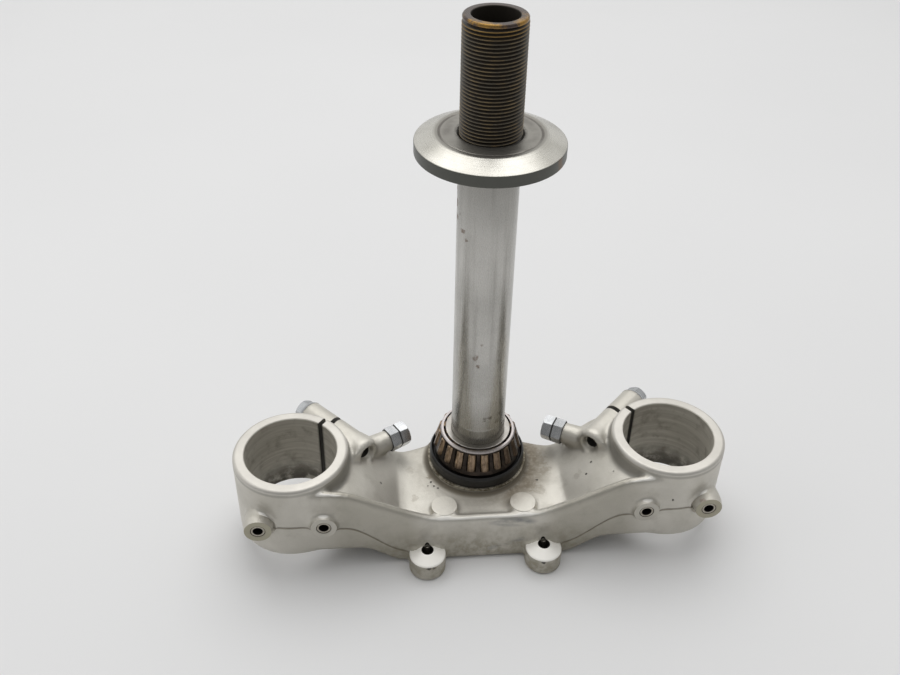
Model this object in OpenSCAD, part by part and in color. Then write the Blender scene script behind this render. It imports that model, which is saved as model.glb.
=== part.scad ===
// Lower triple clamp of a motorcycle with its steering stem, the lower
// taper roller bearing, the adjuster collar, pinch bolts and stop bolts.
// Frame: +Z up along the stem, origin on the stem axis in the plane that
// the clamp stands on, the front of the machine towards -Y, +X to the right
// of someone who looks at the front wall.

/* [Fork clamps] */
// Distance between the two fork leg axes
fork_spacing = 180; // [160:1:220]
// How far the fork legs stand in front of the stem axis
fork_offset = 18.2; // [12:0.1:24]
// Diameter of the fork leg bore
fork_bore_d = 43; // [38:0.5:48]
// Radial wall of the clamp ring
ring_wall = 5.4; // [4:0.1:8]
// Height of the clamp ring
ring_h = 41; // [34:0.5:46]
// Height of the ring's turned lip above the cast crest
lip_h = 3; // [1:0.1:5]
// Width of the slit through the ring wall
slit_w = 2.2; // [1:0.1:4]
// Direction of the slit from the bore centre, seen from above
slit_angle = 128; // [120:0.5:136]

/* [Yoke casting] */
// Height of the ring tops above the base plane
clamp_top_z = 51; // [46:0.5:60]
// Height of the low centre plate above the base plane
plate_z = 21.7; // [18:0.1:26]
// Half width of the level centre plate
plate_half_w = 38; // [33:0.5:42]
// Thickness of the plate and the sloping webs
web_t = 5.5; // [4:0.1:8]
// Thickness of the front and rear walls
wall_t = 5; // [4:0.1:7]
// Distance of the front wall in front of the stem axis
front_wall_y = 45; // [42:0.1:48]
// Distance of the rear wall behind the stem axis, beside the hub
rear_wall_y = 14; // [10:0.1:18]
// Thickness of the raised front rim
rim_t = 4.4; // [3:0.1:6]
// Height of the front rim over the centre plate
rim_h = 3.2; // [1:0.1:5]
// Outer diameter of the stem hub
hub_d = 54; // [48:0.5:60]

/* [Steering stem] */
// Diameter of the stem tube
stem_d = 25.7; // [22:0.1:30]
// Diameter of the stem where bearing and hub sit
stem_seat_d = 26; // [23:0.1:32]
// Bore of the stem tube
stem_bore_d = 18.6; // [14:0.1:20]
// Length of the stem from the base plane to its top
stem_l = 250.7; // [220:0.1:290]
// How far the thread runs on below the collar
thread_below = 2.5; // [1.5:0.1:8]
// Outer diameter of the thread's crests
stem_thread_d = 25.5; // [21.8:0.1:29.8]
// Radial depth from the thread's crests to its pitch line
thread_half_depth = 0.45; // [0.3:0.05:0.6]

/* [Adjuster collar] */
// Outer diameter of the collar
collar_d = 61.8; // [50:0.1:70]
// Height of the collar's turned rim
collar_rim_h = 5; // [3:0.1:8]
// Rise of the cone from the rim to the flat top
collar_rise = 3.6; // [2:0.1:6]
// Diameter of the flat top
collar_flat_d = 46; // [42:0.5:48]
// Height of the rim's lower edge above the base plane
collar_z = 194.35; // [180:0.1:200]

/* [Lower bearing] */
// Width of the inner race
race_h = 15; // [12:0.1:17]
// Height of the race's lower face above the centre plate
race_lift = 7.45; // [6:0.05:10]
// Number of rollers
roller_count = 19; // [16:1:21]
// Length of a roller
roller_l = 9.2; // [7:0.1:10]
// Roller diameter at its upper end
roller_d_small = 4.2; // [3.6:0.1:4.4]
// Roller diameter at its lower end
roller_d_large = 4.8; // [4.2:0.1:5]
// Lean of a roller's axis
roller_tilt = 14.2; // [10:0.1:17]
// Distance of a roller's middle from the stem axis
roller_pitch_r = 18.2; // [17.8:0.05:19]
// Sheet thickness of the roller cage
cage_t = 0.8; // [0.6:0.1:1.2]
// Outer diameter of the rubber dust seal
seal_d = 47; // [44:0.5:50]

/* [Bosses] */
// Distance between the two front holes of one fork ring
mount_pair = 29.8; // [24:0.1:34]
// Height of the front holes above the base plane
mount_z = 29.4; // [26:0.1:32]
// Distance of the front hole faces in front of the stem axis
mount_face_y = 47.5; // [46:0.1:50]
// Diameter of the bored seat of a thread insert
insert_d = 7; // [6:0.1:8]
// Diameter inside a thread insert
insert_bore_d = 5; // [4:0.1:5.4]
// Distance between the two front mudguard bosses
guard_spacing = 55.3; // [48:0.1:62]
// Distance of the mudguard bosses in front of the stem axis
guard_y = 48.3; // [46:0.1:52]
// Diameter of a mudguard boss
guard_d = 17.2; // [15:0.1:19]
// Hole through a mudguard boss
guard_hole_d = 5.6; // [4.5:0.1:7]
// Distance between the two round pads on the centre plate
pad_spacing = 37.6; // [34:0.1:42]
// Distance of the pads in front of the stem axis
pad_y = 33.6; // [32:0.1:35]
// Diameter of a pad
pad_d = 12.4; // [10:0.1:14]

/* [Bolts] */
// Thread diameter of the pinch and stop bolts
bolt_d = 8; // [6:1:10]
// Width across the flats of the stop bolts and their nuts
hex_af = 11; // [10:0.5:14]
// Height of a hexagon head
head_h = 5.2; // [4:0.1:7]
// Width across the flats of the pinch bolts
pinch_af = 10; // [8:0.5:13]
// Diameter of the pinch bolt's flange
flange_d = 13.6; // [11:0.1:16]
// Direction of the pinch bolt towards its head, seen from above
pinch_angle = 46.5; // [40:0.5:50]
// Height of the pinch bolt's axis above the base plane
pinch_z = 38.7; // [36:0.1:40]
// Gap between the fork bore and the pinch bolt's axis
pinch_gap = 9.7; // [8:0.1:11]
// Diameter of the cast boss round the pinch bolt
pinch_boss_d = 13.6; // [12:0.1:16]
// Reach of the pinch boss from the bolt's nearest point to the bore, towards the head
pinch_out = 22.3; // [18:0.1:27]
// Reach of the pinch boss from that point to its open end
pinch_in = 19.5; // [16:0.1:22]
// Height of the stop bolt's axis above the base plane
stop_z = 33.3; // [30:0.1:35]
// How far the end of the stop boss stands from the middle of the clamp
stop_x = 44.6; // [42:0.1:50]
// How far the end of the stop boss stands behind the stem axis
stop_y = 4; // [0:0.1:8]
// Direction of the stop bolt, seen from above
stop_angle = 150; // [140:1:165]
// Diameter of the stop boss
stop_boss_d = 10.6; // [10:0.1:14]

/* [Hidden] */

$fn = 96;
eps = 0.01;
thread_clear = 0.05;
run_clear = 0.1;
cut_over = 1;
foot_lift = 0.3;
pocket_x = 8;

fork_x = fork_spacing / 2;
fork_y = -fork_offset;
fork_r = fork_bore_d / 2;
ring_r = fork_r + ring_wall;
ring_bottom_z = clamp_top_z - ring_h;
crest_z = clamp_top_z - lip_h - 0.5;
pinch_r = fork_r + pinch_gap;
pinch_foot = [fork_x - pinch_r * sin(pinch_angle), fork_y + pinch_r * cos(pinch_angle)];
bolt_r = bolt_d / 2;
flange_t = 1.6;
nut_h = 5.4;
stop_boss_l = 13;
insert_l = 9;
insert_sink = 0.6;

washer_d = seal_d + 2;
seat_d = washer_d - 1.2;
seat_z = plate_z + 2.3;
race_z = plate_z + race_lift;
race_top_z = race_z + race_h;
roller_mid_z = race_z + 8.4;
roller_r_mid = (roller_d_small + roller_d_large) / 4;
roller_taper = atan((roller_d_large - roller_d_small) / 2 / roller_l);
race_cone = roller_tilt - roller_taper;
cage_out = 1.1;
cage_mid_r = roller_pitch_r + cage_out;
cage_top_z = race_top_z - 0.5;
cage_bottom_z = race_z + 2.1;
washer_t = 1;
shoulder_r = stem_seat_d / 2 + 4.5;

// Round the corner of a profile: a value for each step of a quarter turn
quarter = [for (a = [0 : 22.5 : 90]) a];

module mirrored() {
    children();
    mirror([1, 0, 0]) children();
}

// Shape of the yoke along its width. Each table gives a size at a distance
// from the middle, as a share of the way to the fork axis.
function at(s, table) = lookup(s / fork_x, table);
plate_f = plate_half_w / fork_x;
function web_top(s) = at(s, [[plate_f - 0.03, plate_z], [plate_f + 0.02, plate_z + 0.9],
    [0.52, plate_z + 6.6], [0.6, plate_z + 12.6], [0.7, plate_z + 18.2], [0.78, plate_z + 20.8],
    [0.84, crest_z - 3.5]]);
function crest_top(s) = at(s, [[0.22, plate_z + rim_h], [0.28, plate_z + rim_h + 0.8],
    [0.335, plate_z + rim_h + 2.6], [0.39, plate_z + rim_h + 5.2], [0.45, plate_z + rim_h + 8.2],
    [0.56, crest_z - 8.8], [0.67, crest_z - 3.3], [0.73, crest_z - 0.9], [0.79, crest_z],
    [0.9, crest_z - 0.1], [0.95, crest_z - 0.6], [1, crest_z - 1.6]]);
function base_z(s) = foot_lift + at(s, [[0.44, 0], [0.47, 0.8], [0.56, 0.66 * ring_bottom_z],
    [0.61, 0.95 * ring_bottom_z], [0.65, ring_bottom_z]]);
function part_z(s) = at(s, [[0.36, 6], [0.44, 8.5], [0.56, 18.5], [0.68, 26], [0.76, 28.6]]);
function front_top_y(s) = -at(s, [[0, front_wall_y - 3], [0.33, front_wall_y - 2.6],
    [0.45, front_wall_y - 1.8], [0.56, front_wall_y - 1.1], [0.67, front_wall_y - 0.7],
    [0.8, ring_r - fork_y - 0.3], [0.98, ring_r - fork_y - 0.4]]);
function front_low_y(s) = -at(s, [[0, front_wall_y], [0.6, front_wall_y], [0.8, ring_r - fork_y - 0.1],
    [0.98, ring_r - fork_y - 0.3]]);
function rear_y(s) = at(s, [[0.2, rear_wall_y], [0.27, rear_wall_y - 1.4], [0.34, rear_wall_y - 3.8],
    [0.42, 8.2], [0.5, 7.8], [0.58, 8.6], [0.67, 9.4], [0.73, 8.2], [0.78, 5.6], [0.84, 4.2], [0.98, 7]]);

// One cross section of the yoke at a distance s from the middle, as [y, z]
// points that run from the rear foot over the web and the rim to the front foot
function section(s) =
    let (zt = web_top(s), zc = crest_top(s), zb = base_z(s), zp = part_z(s),
         yf = front_top_y(s), yb = front_low_y(s), yr = rear_y(s),
         yi = yf + rim_t, rr = rim_t / 2, fr = min(2.4, zc - rr - zt - 0.1), er = 2.2)
    concat(
        [[yr - 2.2, zb], [yr - 0.8, zb + 0.5], [yr, zb + 2]],
        [for (a = quarter) [yr - er + er * cos(a), zt - er + er * sin(a)]],
        [for (a = quarter) [yi + fr * (1 - sin(a)), zt + fr * (1 - cos(a))]],
        [for (a = [0 : 22.5 : 180]) [yf + rr + rr * cos(a), zc - rr + rr * sin(a)]],
        [[yf - 0.15 * (yf - yb) - 0.3, zc - rr - 2.5], [(yf + yb) / 2, (zp + zc) / 2],
         [yb, zp], [yb, zb + 2], [yb + 0.6, zb + 0.6], [yb + 2, zb]]);

yoke_steps = 44;
yoke_half = 0.98 * fork_x;
section_n = len(section(0));

// The cast bridge between the fork rings, lofted through its cross sections
module yoke_bridge() {
    stations = [for (i = [0 : yoke_steps]) yoke_half * (2 * i / yoke_steps - 1)];
    ring = [for (x = stations) for (p = section(abs(x))) [x, p[0], p[1]]];
    tip_y = front_top_y(yoke_half) + rim_t / 2;
    tips = [for (side = [-1, 1]) [side * (yoke_half + 1), tip_y, (ring_bottom_z + crest_z) / 2]];
    tip = (yoke_steps + 1) * section_n;
    sides = [for (i = [0 : yoke_steps - 1]) for (j = [0 : section_n - 1])
        let (a = i * section_n + j, b = i * section_n + (j + 1) % section_n,
             c = a + section_n, d = b + section_n)
        each [[a, d, b], [a, c, d]]];
    first = [for (j = [0 : section_n - 1]) [tip, j, (j + 1) % section_n]];
    last = [for (j = [0 : section_n - 1])
        [tip + 1, yoke_steps * section_n + (j + 1) % section_n, yoke_steps * section_n + j]];
    polyhedron(concat(ring, tips), concat(sides, first, last));
}

// A pinch bolt's own axes: X along the bolt towards its head, Z up
module at_pinch() {
    translate([pinch_foot[0], pinch_foot[1], pinch_z])
        rotate([0, 0, pinch_angle]) rotate([0, 90, 0]) children();
}

// A stop bolt's own axes: Z along the bolt out of its boss
module at_stop() {
    translate([stop_x, stop_y, stop_z]) rotate([0, 0, stop_angle]) rotate([0, 90, 0]) children();
}

// A front boss's own axes: Z out of the boss, from the plane of its face
module at_front(x) {
    translate([x, -mount_face_y, mount_z]) rotate([90, 0, 0]) children();
}

module fork_ring() {
    edge = 0.8;
    translate([fork_x, fork_y, 0]) rotate_extrude()
        polygon([[fork_r - 2, ring_bottom_z], [ring_r - edge, ring_bottom_z],
                 [ring_r, ring_bottom_z + edge], [ring_r, clamp_top_z - edge],
                 [ring_r - edge, clamp_top_z], [fork_r - 2, clamp_top_z]]);
}

module pinch_boss() {
    edge = 1.2;
    r = pinch_boss_d / 2;
    at_pinch() rotate_extrude()
        polygon([[0, -pinch_in], [r - edge, -pinch_in], [r + 0.6, 2 * edge - pinch_in],
                 [r - 0.4, -pinch_in / 3], [r, pinch_out - 2 * edge], [r - edge, pinch_out],
                 [0, pinch_out]]);
    at_pinch() translate([1.6, -3, 1 - pinch_in]) cylinder(r1 = r + 0.4, r2 = r - 2.4, h = pinch_in - 4);
}

module stop_boss() {
    edge = 1.2;
    r = stop_boss_d / 2;
    at_stop() rotate_extrude()
        polygon([[0, -stop_boss_l], [r + 0.8, -stop_boss_l], [r, -edge], [r - edge, 0], [0, 0]]);
}

module front_boss(x, r, depth, flare) {
    edge = 1.3;
    at_front(x) rotate_extrude()
        polygon([[0, -depth], [r + flare, -depth], [r, 0.5 - 0.4 * depth],
                 [r, -edge], [r - edge, 0], [0, 0]]);
}

module guard_boss() {
    side_h = 9;
    rise = 3.6;
    edge = 0.8;
    r = guard_d / 2;
    translate([guard_spacing / 2, -guard_y, 0]) {
        rotate_extrude()
            polygon([[0, 0], [r - edge, 0], [r, edge], [r, side_h], [r - 0.4, side_h + 0.5],
                     [1, side_h + rise], [0, side_h + rise]]);
        translate([0, r - 3.6, 0]) cylinder(d1 = guard_d - 2, d2 = guard_hole_d, h = side_h + 4);
    }
}

module pad() {
    edge = 0.5;
    translate([pad_spacing / 2, -pad_y, 0]) rotate_extrude()
        polygon([[0, 4], [pad_d / 2, 4], [pad_d / 2, plate_z + 3.8 - edge],
                 [pad_d / 2 - edge, plate_z + 3.8], [0, plate_z + 3.8]]);
}

// Hollow under one arm: bounded by the walls, the hub, the pad's column and the fork ring
module underside_pocket() {
    intersection() {
        translate([0, 0, -cut_over]) linear_extrude(clamp_top_z) difference() {
            polygon([[0, wall_t - front_wall_y], [0.66 * fork_x, wall_t - front_wall_y + 0.4],
                     [0.74 * fork_x, fork_y - 17], [0.74 * fork_x, fork_y + 17],
                     for (f = [0.64, 0.5, 0.36]) [f * fork_x, rear_y(f * fork_x) - wall_t],
                     [0, rear_wall_y - wall_t]]);
            circle(d = hub_d - 6);
            translate([fork_x, fork_y]) circle(r = ring_r);
            translate([pad_spacing / 2, -pad_y]) circle(d = pad_d + 2);
            translate([-eps, -fork_spacing / 2]) square([pocket_x, fork_spacing]);
        }
        rotate([90, 0, 0]) translate([0, 0, -fork_spacing / 2]) linear_extrude(fork_spacing)
            polygon([[0, -cut_over], [0, plate_z - web_t], [plate_half_w, plate_z - web_t],
                     [0.6 * fork_x, plate_z + 12.6 - 1.2 * web_t],
                     [0.74 * fork_x, plate_z + 19.2 - 1.2 * web_t], [0.74 * fork_x, -cut_over]]);
    }
}

module fork_bore() {
    edge = 0.4;
    translate([fork_x, fork_y, 0]) {
        translate([0, 0, -cut_over]) cylinder(r = fork_r, h = clamp_top_z + 2 * cut_over);
        translate([0, 0, clamp_top_z - edge]) cylinder(r1 = fork_r, r2 = fork_r + 2 * edge, h = 2 * edge);
        translate([0, 0, ring_bottom_z - edge])
            cylinder(r1 = fork_r + 2 * edge, r2 = fork_r, h = 2 * edge);
        rotate([0, 0, slit_angle]) translate([0, -slit_w / 2, -cut_over])
            cube([ring_r + 20, slit_w, clamp_top_z + 2 * cut_over]);
    }
}

module pinch_hole() {
    at_pinch() {
        translate([0, 0, -pinch_in - cut_over]) cylinder(r = bolt_r, h = pinch_in + 2 * cut_over);
        cylinder(r = bolt_r + 0.3, h = pinch_out + cut_over);
    }
    at_pinch() translate([0, 0, -pinch_in - 0.5]) cylinder(r1 = bolt_r + 0.8, r2 = bolt_r, h = 1.2);
}

module stop_hole() {
    at_stop() translate([0, 0, 1 - stop_boss_l]) cylinder(r = bolt_r, h = stop_boss_l);
}

module front_hole(x) {
    tap_depth = insert_l + 1;
    at_front(x) translate([0, 0, -tap_depth]) cylinder(d = insert_d, h = tap_depth + cut_over);
}

module guard_hole() {
    translate([guard_spacing / 2, -guard_y, -cut_over]) cylinder(d = guard_hole_d, h = plate_z + cut_over);
}

module pad_hole() {
    translate([pad_spacing / 2, -pad_y, -cut_over]) cylinder(d = insert_bore_d, h = plate_z - 3);
}

module front_places() {
    for (x = [fork_x - mount_pair / 2, fork_x + mount_pair / 2]) translate([x, 0, 0]) children();
}

// The cast yoke with both fork rings, its bosses and every machined face
module lower_clamp() {
    color([0.68, 0.67, 0.63]) difference() {
        union() {
            yoke_bridge();
            cylinder(d = hub_d, h = plate_z - 0.2);
            cylinder(d = seat_d, h = seat_z);
            cylinder(r = shoulder_r, h = race_z);
            mirrored() {
                fork_ring();
                pinch_boss();
                stop_boss();
                front_boss(fork_x - mount_pair / 2, insert_d / 2 + 2.7, 6, 2);
                front_boss(fork_x + mount_pair / 2, insert_d / 2 + 3.5, ring_r - 8.5, -1.5);
                guard_boss();
                pad();
            }
        }
        translate([0, 0, -cut_over]) cylinder(d = stem_seat_d, h = clamp_top_z);
        mirrored() {
            underside_pocket();
            fork_bore();
            pinch_hole();
            stop_hole();
            front_hole(fork_x - mount_pair / 2);
            front_hole(fork_x + mount_pair / 2);
            guard_hole();
            pad_hole();
        }
    }
}

// Steel tube, turned down above its seat and threaded at the top. The thread is
// a plain cylinder at its crests above the collar, and at its pitch line inside it.
engaged_r = stem_thread_d / 2 - thread_half_depth;
module steering_stem() {
    step_z = race_top_z + 8.4;
    edge = 1;
    thread_low_z = collar_z - thread_below;
    thread_r = stem_thread_d / 2;
    nut_side_z = collar_z + collar_rim_h + collar_rise + 0.3;
    color([0.72, 0.72, 0.72]) rotate_extrude()
        polygon([[stem_bore_d / 2, 0], [stem_seat_d / 2 - 0.5, 0], [stem_seat_d / 2, 0.5],
                 [stem_seat_d / 2, step_z], [stem_d / 2, step_z + 0.5],
                 [stem_d / 2, thread_low_z], [engaged_r, thread_low_z + 0.5],
                 [engaged_r, nut_side_z], [thread_r, nut_side_z + thread_half_depth],
                 [thread_r, stem_l - edge], [thread_r - edge, stem_l],
                 [stem_bore_d / 2 + 0.8, stem_l], [stem_bore_d / 2, stem_l - 0.8]]);
}

// Turned collar that screws down the stem and shields the upper bearing
module adjuster_collar() {
    r = collar_d / 2;
    flat_r = collar_flat_d / 2;
    skin = 3;
    hub_r = stem_d / 2 + 5;
    groove_r = flat_r - 2.2;
    top_z = collar_z + collar_rim_h + collar_rise;
    color([0.75, 0.75, 0.73]) rotate_extrude()
        polygon([[engaged_r + thread_clear, collar_z - 1], [hub_r, collar_z - 1],
                 [hub_r, top_z - skin - 0.6], [flat_r, top_z - skin - 0.6],
                 [r - 2.6, collar_z + 1.6], [r - 2.6, collar_z], [r - 0.4, collar_z],
                 [r, collar_z + 0.4], [r, collar_z + collar_rim_h - 0.5],
                 [r - 0.6, collar_z + collar_rim_h + 0.2], [flat_r, top_z],
                 [groove_r + 0.4, top_z], [groove_r, top_z - 0.4], [groove_r - 0.4, top_z],
                 [stem_d / 2 + 0.8, top_z], [engaged_r + thread_clear, top_z - 1.2]]);
}

race_mid_r = roller_pitch_r - (roller_r_mid + run_clear) / cos(race_cone);
function race_r(z) = race_mid_r + (roller_mid_z - z) * tan(race_cone);
roller_drop = roller_l / 2 * cos(roller_tilt);

// Inner ring with its sloping roller track between two ribs
module bearing_inner_race() {
    rib_top = roller_mid_z + roller_drop + 0.45;
    rib_low = roller_mid_z - roller_drop - 0.85;
    small_rib_r = stem_seat_d / 2 + 2.8;
    color([0.66, 0.63, 0.6]) rotate_extrude()
        polygon([[stem_seat_d / 2, race_z], [race_r(rib_low) + 1.7, race_z],
                 [race_r(rib_low) + 2, race_z + 0.4], [race_r(rib_low) + 1.8, rib_low],
                 [race_r(rib_low), rib_low], [race_r(rib_top), rib_top],
                 [small_rib_r, rib_top], [small_rib_r, race_top_z - 0.4],
                 [small_rib_r - 0.4, race_top_z], [stem_seat_d / 2, race_top_z]]);
}

// A roller's own axes: Z along the roller towards its small end
module at_roller(i) {
    rotate([0, 0, 360 * (i + 0.5) / roller_count]) translate([roller_pitch_r, 0, roller_mid_z])
        rotate([0, -roller_tilt, 0]) children();
}

module bearing_rollers() {
    color([0.45, 0.35, 0.27]) for (i = [0 : roller_count - 1]) at_roller(i)
        translate([0, 0, -roller_l / 2])
            cylinder(d1 = roller_d_large, d2 = roller_d_small, h = roller_l, $fn = 32);
}

// Pressed steel cage: a cone with one window for each roller and two end rings
module bearing_cage() {
    cone_tan = tan(roller_tilt);
    top_r = cage_mid_r - (cage_top_z - roller_mid_z) * cone_tan;
    low_r = cage_mid_r + (roller_mid_z - cage_bottom_z) * cone_tan;
    window_w = 2 * sqrt(pow(roller_d_large / 2, 2) - pow(cage_out - cage_t / 2, 2)) + 2 * run_clear;
    lip_r = stem_seat_d / 2 + 3.8;
    color([0.2, 0.17, 0.14]) difference() {
        rotate_extrude()
            polygon([[low_r - cage_t / 2, cage_bottom_z], [low_r + cage_t / 2, cage_bottom_z],
                     [top_r + cage_t / 2, cage_top_z - 0.4], [top_r, cage_top_z],
                     [lip_r, cage_top_z], [lip_r, cage_top_z - 0.7],
                     [top_r - cage_t / 2, cage_top_z - 0.7]]);
        for (i = [0 : roller_count - 1]) at_roller(i)
            translate([cage_out - 2 * cage_t, -window_w / 2, -roller_l / 2 - run_clear])
                cube([4 * cage_t, window_w, roller_l + 2 * run_clear]);
    }
}

// Rubber ring below the rollers, its outer lip raised round the race's large rib
module dust_seal() {
    r = seal_d / 2;
    low_z = seat_z + washer_t;
    base_top = race_z - 0.6;
    color([0.07, 0.07, 0.07]) rotate_extrude()
        polygon([[shoulder_r + 0.1, low_z], [r, low_z], [r, race_z + 0.5], [r - 0.5, race_z + 1.6],
                 [r - 1, race_z + 1.8], [r - 1.4, race_z + 0.8], [r - 1.9, base_top],
                 [shoulder_r + 0.1, base_top]]);
}

module seal_washer() {
    color([0.72, 0.72, 0.7]) translate([0, 0, seat_z]) difference() {
        cylinder(d = washer_d, h = washer_t);
        translate([0, 0, -cut_over]) cylinder(r = shoulder_r + 0.1, h = washer_t + 2 * cut_over);
    }
}

// Steel sleeves that line the four tapped front holes
module thread_inserts() {
    color([0.5, 0.47, 0.43]) mirrored() {
        for (x = [fork_x - mount_pair / 2, fork_x + mount_pair / 2]) at_front(x)
            translate([0, 0, -insert_l - insert_sink]) difference() {
                cylinder(d = insert_d, h = insert_l);
                translate([0, 0, -cut_over]) cylinder(d = insert_bore_d, h = insert_l + 2 * cut_over);
            }
    }
}

// Six flats under a cone that takes the corners off the upper face
module hex_head(h, af) {
    corner_r = af / 2 / cos(30);
    intersection() {
        cylinder(r = corner_r, h = h, $fn = 6);
        cylinder(r1 = corner_r + h, r2 = corner_r - 0.7, h = h);
    }
}

module hex_nut(h) {
    corner_r = hex_af / 2 / cos(30);
    intersection() {
        cylinder(r = corner_r, h = h, $fn = 6);
        cylinder(r1 = corner_r + h, r2 = corner_r - 0.7, h = h);
        cylinder(r1 = corner_r - 0.7, r2 = corner_r + h, h = h);
    }
}

// Flanged hexagon bolt that draws the slit of a fork ring together
module pinch_bolt() {
    shank_l = pinch_out + 12;
    color([0.68, 0.69, 0.7]) at_pinch() translate([0, 0, pinch_out]) {
        translate([0, 0, -shank_l]) cylinder(r = bolt_r - thread_clear, h = shank_l + eps);
        cylinder(d1 = flange_d, d2 = flange_d - 1.2, h = flange_t);
        translate([0, 0, flange_t - eps]) hex_head(head_h - 1, pinch_af);
    }
}

module stop_bolt() {
    shank_l = nut_h + stop_boss_l - 3;
    color([0.7, 0.71, 0.72]) at_stop() translate([0, 0, nut_h]) {
        translate([0, 0, -shank_l]) cylinder(r = bolt_r - thread_clear, h = shank_l + eps);
        rotate([0, 0, 30]) hex_head(head_h, hex_af);
    }
}

module stop_locknut() {
    color([0.72, 0.73, 0.74]) at_stop() difference() {
        rotate([0, 0, 33]) hex_nut(nut_h);
        translate([0, 0, -cut_over]) cylinder(r = bolt_r, h = nut_h + 2 * cut_over);
    }
}

lower_clamp();
steering_stem();
adjuster_collar();
bearing_inner_race();
bearing_cage();
bearing_rollers();
dust_seal();
seal_washer();
thread_inserts();
mirror([1, 0, 0]) pinch_bolt();  // pinch_bolt_left
pinch_bolt();  // pinch_bolt_right
mirror([1, 0, 0]) stop_bolt();  // stop_bolt_left
stop_bolt();  // stop_bolt_right
mirror([1, 0, 0]) stop_locknut();  // stop_locknut_left
stop_locknut();  // stop_locknut_right
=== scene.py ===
# %% [markdown]
# # A lower triple clamp with its steering stem
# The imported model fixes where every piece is. This script gives each piece the
# shape detail and the finish of the real one: a casting with soft corners and
# crisp machined faces, a rolled thread, a greasy bearing and plated bolts.
# Lengths are written in millimetres and turned into metres by MM.

import math

import bmesh
import bpy
from mathutils import Matrix, Vector


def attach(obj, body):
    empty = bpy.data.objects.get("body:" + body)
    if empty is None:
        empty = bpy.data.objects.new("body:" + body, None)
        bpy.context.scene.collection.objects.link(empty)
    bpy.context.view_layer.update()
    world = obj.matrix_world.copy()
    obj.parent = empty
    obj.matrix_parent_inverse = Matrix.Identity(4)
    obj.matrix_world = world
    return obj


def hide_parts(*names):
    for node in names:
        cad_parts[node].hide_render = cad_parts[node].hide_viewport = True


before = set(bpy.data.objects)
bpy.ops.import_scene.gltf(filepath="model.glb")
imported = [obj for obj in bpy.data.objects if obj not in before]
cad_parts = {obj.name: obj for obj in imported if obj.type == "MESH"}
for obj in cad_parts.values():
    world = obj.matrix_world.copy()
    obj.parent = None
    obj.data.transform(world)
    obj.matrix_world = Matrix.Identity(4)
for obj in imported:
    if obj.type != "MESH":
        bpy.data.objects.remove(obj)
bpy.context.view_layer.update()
MM = 0.001

# %% [markdown]
# ## Shader arithmetic
# A procedural finish is mostly sums and products of masks. Written node by
# node they hide the idea, so one small class wraps a socket and lets Python
# operators add the Math nodes. Every other node comes from `node`.

# %% Wires and nodes
class Wire:
    """An output socket of a shader tree, with arithmetic that adds Math nodes."""

    def __init__(self, tree, socket):
        self.tree, self.socket = tree, socket

    def math(self, operation, *others):
        sockets = dict(enumerate((self,) + others))
        return node(self.tree, "ShaderNodeMath", {"operation": operation}, sockets)

    def __add__(self, other):
        return self.math("ADD", other)

    def __sub__(self, other):
        return self.math("SUBTRACT", other)

    def __rsub__(self, other):
        return self.math("MULTIPLY", -1.0) + other

    def __mul__(self, other):
        return self.math("MULTIPLY", other)

    def __truediv__(self, other):
        return self.math("DIVIDE", other)

    def __pow__(self, power):
        return self.math("POWER", power)

    def __abs__(self):
        return self.math("ABSOLUTE")

    __radd__, __rmul__ = __add__, __mul__

    def ease(self, low, high):
        """0 at low and 1 at high, with a soft start and end; high may be the smaller."""
        if low > high:
            return 1 - self.ease(high, low)
        sockets = {"Value": self, "From Min": low, "From Max": high}
        return node(self.tree, "ShaderNodeMapRange", {"interpolation_type": "SMOOTHSTEP"}, sockets)

    def either(self, other):
        """The union of two masks: the larger value at each point."""
        return self.math("MAXIMUM", other)


def node(tree, kind, settings=None, sockets=None, output=0):
    """Adds a node: its settings first, then a value or a wire for each socket."""
    made = tree.nodes.new(kind)
    for name, value in (settings or {}).items():
        setattr(made, name, value)
    for name, value in (sockets or {}).items():
        if isinstance(value, Wire):
            tree.links.new(value.socket, made.inputs[name])
        else:
            made.inputs[name].default_value = value
    return Wire(tree, made.outputs[output])


def blend(factor, first, second):
    """Mixes two colours, each a wire or an (r, g, b) triple."""
    colours = [c if isinstance(c, Wire) else (*c, 1.0) for c in (first, second)]
    settings = {"data_type": "RGBA"}
    return node(factor.tree, "ShaderNodeMix", settings, {0: factor, 6: colours[0], 7: colours[1]}, 2)


def speckle(place, size, detail=3.0, rough=0.5, stretch=(1, 1, 1), shift=0.0):
    """Cloudy noise from 0 to 1 whose blots are about `size` millimetres wide."""
    scale = tuple(s / size for s in stretch)
    moved = node(place.tree, "ShaderNodeMapping", {},
                 {"Vector": place, "Location": (shift, shift, shift), "Scale": scale})
    return node(place.tree, "ShaderNodeTexNoise", {},
                {"Vector": moved, "Scale": 1.0, "Detail": detail, "Roughness": rough})


def split(place):
    """The x, y and z of a vector as three wires."""
    return [node(place.tree, "ShaderNodeSeparateXYZ", {}, {0: place}, i) for i in range(3)]


def span(first, second):
    """The length of a vector from its two components."""
    return (first * first + second * second) ** 0.5


def from_stem(place):
    """Distance in millimetres from the stem axis."""
    x, y, _ = split(place)
    return span(x, y)


def marks(place, spots, fray=0.35, shift=0.0):
    """A mask of frayed blots: each spot is (x, y, z, radius, strength)."""
    wobble = speckle(place, 1.6, 2.0, 0.6, shift=shift)
    total = None
    for x, y, z, radius, strength in spots:
        away = node(place.tree, "ShaderNodeVectorMath", {"operation": "DISTANCE"},
                    {0: place, 1: (x, y, z)}, 1)
        blot = (away + (wobble - 0.5) * (4 * fray * radius)).ease(radius, 0.45 * radius) * strength
        total = blot if total is None else total.either(blot)
    return total


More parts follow.
